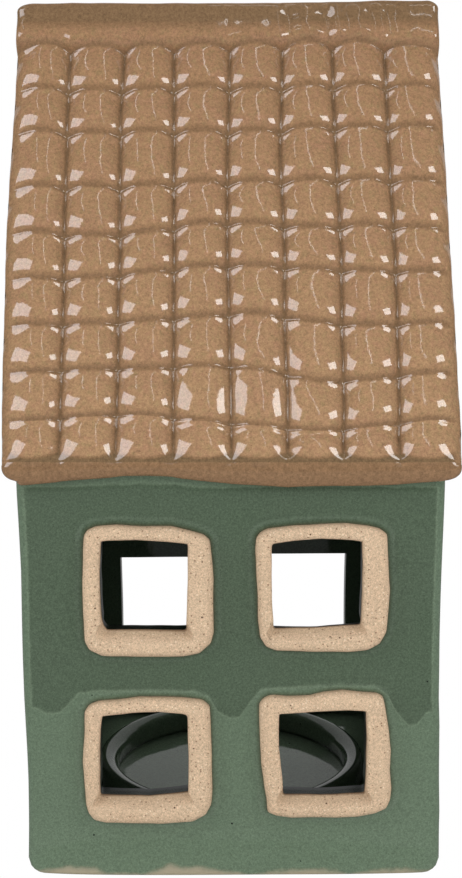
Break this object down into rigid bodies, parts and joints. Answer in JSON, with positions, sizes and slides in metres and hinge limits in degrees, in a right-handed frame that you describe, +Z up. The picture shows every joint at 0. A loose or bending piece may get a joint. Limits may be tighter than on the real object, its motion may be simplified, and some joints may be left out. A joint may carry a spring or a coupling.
{
  "type": "tealight house",
  "caption": "Ceramic tealight holder shaped as a narrow house with a steep tiled roof, framed square windows and a low opening behind for the candle.",
  "frame": {"origin": "middle of the underside, where the house stands", "axes": "+Z up; -Y is the front with the windows; +X to the right as seen from the front"},
  "size_m": [0.1, 0.1, 0.2001],
  "materials": {
    "roof_glaze": "glossy brown glaze, darker where it pools between the tiles",
    "wall_glaze": "glossy grey-green glaze, lighter along rounded edges",
    "bare_clay": "matt unglazed sandy clay with dark specks"
  },
  "bodies": {
    "root": {"back_wall": "wall_glaze", "base_slab": "wall_glaze", "candle_ring": "wall_glaze", "front_roof_slab": "roof_glaze", "front_tile_course_1": "roof_glaze", "front_tile_course_2": "roof_glaze", "front_tile_course_3": "roof_glaze", "front_tile_course_4": "roof_glaze", "front_tile_course_5": "roof_glaze", "front_tile_course_6": "roof_glaze", "front_tile_course_7": "roof_glaze", "front_tile_course_8": "roof_glaze", "front_tile_course_9": "roof_glaze", "front_wall": "wall_glaze", "left_gable_wall": "wall_glaze", "rear_roof_slab": "roof_glaze", "rear_tile_course_1": "roof_glaze", "rear_tile_course_2": "roof_glaze", "rear_tile_course_3": "roof_glaze", "rear_tile_course_4": "roof_glaze", "rear_tile_course_5": "roof_glaze", "rear_tile_course_6": "roof_glaze", "rear_tile_course_7": "roof_glaze", "rear_tile_course_8": "roof_glaze", "rear_tile_course_9": "roof_glaze", "ridge_cap": "roof_glaze", "right_gable_wall": "wall_glaze", "window_frame_lower_left": "bare_clay", "window_frame_lower_right": "bare_clay", "window_frame_upper_left": "bare_clay", "window_frame_upper_right": "bare_clay"}
  },
  "joints": []
}
